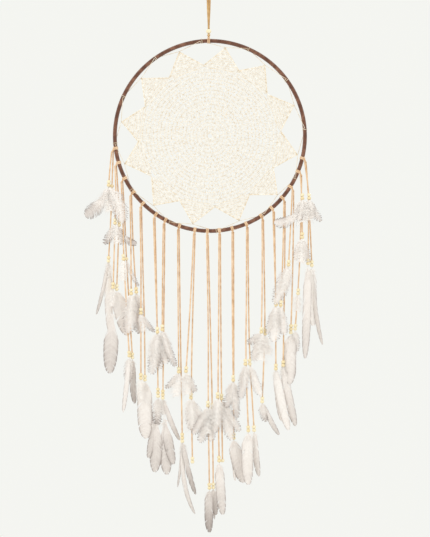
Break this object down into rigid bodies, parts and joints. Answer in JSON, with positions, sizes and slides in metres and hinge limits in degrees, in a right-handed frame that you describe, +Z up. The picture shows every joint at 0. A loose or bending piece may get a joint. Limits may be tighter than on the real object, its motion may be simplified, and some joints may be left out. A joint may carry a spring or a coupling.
{
  "type": "dream catcher",
  "caption": "Dream catcher: a wrapped hoop with a laced crochet star, hung by a doubled lace, with beaded suede laces and feathers below.",
  "frame": {"origin": "inside top of the hanging loop, where a nail or hook carries it", "axes": "+Z up, +X to the right seen from the front, the front of the hoop faces -Y"},
  "size_m": [0.4876, 0.0413, 1.1216],
  "materials": {
    "suede_lace": "soft tan suede",
    "wooden_beads": "pale turned wood, satin",
    "feathers": "soft natural feather",
    "ring_steel": "bright drawn wire",
    "brown_wrap": "dark brown suede wrap",
    "cotton": "cream crocheted cotton",
    "thread": "twisted cotton thread"
  },
  "bodies": {
    "hanger": {"hanging_loop": "suede_lace", "hanging_bead": "wooden_beads"},
    "hoop": {"ring_core": "ring_steel", "ring_wrap": "brown_wrap", "lace_doily": "cotton", "lashing_thread": "thread", "lark_head_hitches": "suede_lace"},
    "strand_01": {"strand_01_beads": "wooden_beads", "strand_01_feathers": "feathers", "strand_01_lace": "suede_lace"},
    "strand_02": {"strand_02_beads": "wooden_beads", "strand_02_feathers": "feathers", "strand_02_lace": "suede_lace"},
    "strand_03": {"strand_03_beads": "wooden_beads", "strand_03_feathers": "feathers", "strand_03_lace": "suede_lace"},
    "strand_04": {"strand_04_beads": "wooden_beads", "strand_04_lace": "suede_lace"},
    "strand_05": {"strand_05_beads": "wooden_beads", "strand_05_feathers": "feathers", "strand_05_lace": "suede_lace"},
    "strand_06": {"strand_06_beads": "wooden_beads", "strand_06_feathers": "feathers", "strand_06_lace": "suede_lace"},
    "strand_07": {"strand_07_beads": "wooden_beads", "strand_07_lace": "suede_lace"},
    "strand_08": {"strand_08_beads": "wooden_beads", "strand_08_feathers": "feathers", "strand_08_lace": "suede_lace"},
    "strand_09": {"strand_09_beads": "wooden_beads", "strand_09_feathers": "feathers", "strand_09_lace": "suede_lace"},
    "strand_10": {"strand_10_beads": "wooden_beads", "strand_10_feathers": "feathers", "strand_10_lace": "suede_lace"},
    "strand_11": {"strand_11_beads": "wooden_beads", "strand_11_feathers": "feathers", "strand_11_lace": "suede_lace"},
    "strand_12": {"strand_12_beads": "wooden_beads", "strand_12_feathers": "feathers", "strand_12_lace": "suede_lace"},
    "strand_13": {"strand_13_beads": "wooden_beads", "strand_13_feathers": "feathers", "strand_13_lace": "suede_lace"},
    "strand_14": {"strand_14_beads": "wooden_beads", "strand_14_lace": "suede_lace"},
    "strand_15": {"strand_15_beads": "wooden_beads", "strand_15_feathers": "feathers", "strand_15_lace": "suede_lace"},
    "strand_16": {"strand_16_beads": "wooden_beads", "strand_16_lace": "suede_lace"},
    "strand_17": {"strand_17_beads": "wooden_beads", "strand_17_feathers": "feathers", "strand_17_lace": "suede_lace"},
    "strand_18": {"strand_18_beads": "wooden_beads", "strand_18_feathers": "feathers", "strand_18_lace": "suede_lace"},
    "strand_19": {"strand_19_beads": "wooden_beads", "strand_19_feathers": "feathers", "strand_19_lace": "suede_lace"}
  },
  "joints": [
    {"name": "hoop_swing", "type": "hinge", "parent": "hanger", "child": "hoop", "pos_m": [0, 0, -0.101], "axis": [1, 0, 0], "range_deg": [-25, 25]},
    {"name": "strand_01_swing", "type": "hinge", "parent": "hoop", "child": "strand_01", "pos_m": [-0.19812, 0, -0.33775], "axis": [1, 0, 0], "range_deg": [-25, 25]},
    {"name": "strand_02_swing", "type": "hinge", "parent": "hoop", "child": "strand_02", "pos_m": [-0.19162, 0, -0.36747], "axis": [1, 0, 0], "range_deg": [-25, 25]},
    {"name": "strand_03_swing", "type": "hinge", "parent": "hoop", "child": "strand_03", "pos_m": [-0.17859, 0, -0.39954], "axis": [1, 0, 0], "range_deg": [-25, 25]},
    {"name": "strand_04_swing", "type": "hinge", "parent": "hoop", "child": "strand_04", "pos_m": [-0.16037, 0, -0.42836], "axis": [1, 0, 0], "range_deg": [-25, 25]},
    {"name": "strand_05_swing", "type": "hinge", "parent": "hoop", "child": "strand_05", "pos_m": [-0.13983, 0, -0.45134], "axis": [1, 0, 0], "range_deg": [-25, 25]},
    {"name": "strand_06_swing", "type": "hinge", "parent": "hoop", "child": "strand_06", "pos_m": [-0.11211, 0, -0.47352], "axis": [1, 0, 0], "range_deg": [-25, 25]},
    {"name": "strand_07_swing", "type": "hinge", "parent": "hoop", "child": "strand_07", "pos_m": [-0.09187, 0, -0.48536], "axis": [1, 0, 0], "range_deg": [-25, 25]},
    {"name": "strand_08_swing", "type": "hinge", "parent": "hoop", "child": "strand_08", "pos_m": [-0.06238, 0, -0.49762], "axis": [1, 0, 0], "range_deg": [-25, 25]},
    {"name": "strand_09_swing", "type": "hinge", "parent": "hoop", "child": "strand_09", "pos_m": [-0.0295, 0, -0.50549], "axis": [1, 0, 0], "range_deg": [-25, 25]},
    {"name": "strand_10_swing", "type": "hinge", "parent": "hoop", "child": "strand_10", "pos_m": [-0.0028, 0, -0.50788], "axis": [1, 0, 0], "range_deg": [-25, 25]},
    {"name": "strand_11_swing", "type": "hinge", "parent": "hoop", "child": "strand_11", "pos_m": [0.0226, 0, -0.50698], "axis": [1, 0, 0], "range_deg": [-25, 25]},
    {"name": "strand_12_swing", "type": "hinge", "parent": "hoop", "child": "strand_12", "pos_m": [0.04974, 0, -0.50254], "axis": [1, 0, 0], "range_deg": [-25, 25]},
    {"name": "strand_13_swing", "type": "hinge", "parent": "hoop", "child": "strand_13", "pos_m": [0.07961, 0, -0.49318], "axis": [1, 0, 0], "range_deg": [-25, 25]},
    {"name": "strand_14_swing", "type": "hinge", "parent": "hoop", "child": "strand_14", "pos_m": [0.11152, 0, -0.47711], "axis": [1, 0, 0], "range_deg": [-25, 25]},
    {"name": "strand_15_swing", "type": "hinge", "parent": "hoop", "child": "strand_15", "pos_m": [0.13392, 0, -0.46105], "axis": [1, 0, 0], "range_deg": [-25, 25]},
    {"name": "strand_16_swing", "type": "hinge", "parent": "hoop", "child": "strand_16", "pos_m": [0.15614, 0, -0.43959], "axis": [1, 0, 0], "range_deg": [-25, 25]},
    {"name": "strand_17_swing", "type": "hinge", "parent": "hoop", "child": "strand_17", "pos_m": [0.17354, 0, -0.4168], "axis": [1, 0, 0], "range_deg": [-25, 25]},
    {"name": "strand_18_swing", "type": "hinge", "parent": "hoop", "child": "strand_18", "pos_m": [0.19012, 0, -0.38553], "axis": [1, 0, 0], "range_deg": [-25, 25]},
    {"name": "strand_19_swing", "type": "hinge", "parent": "hoop", "child": "strand_19", "pos_m": [0.19918, 0, -0.35823], "axis": [1, 0, 0], "range_deg": [-25, 25]}
  ]
}
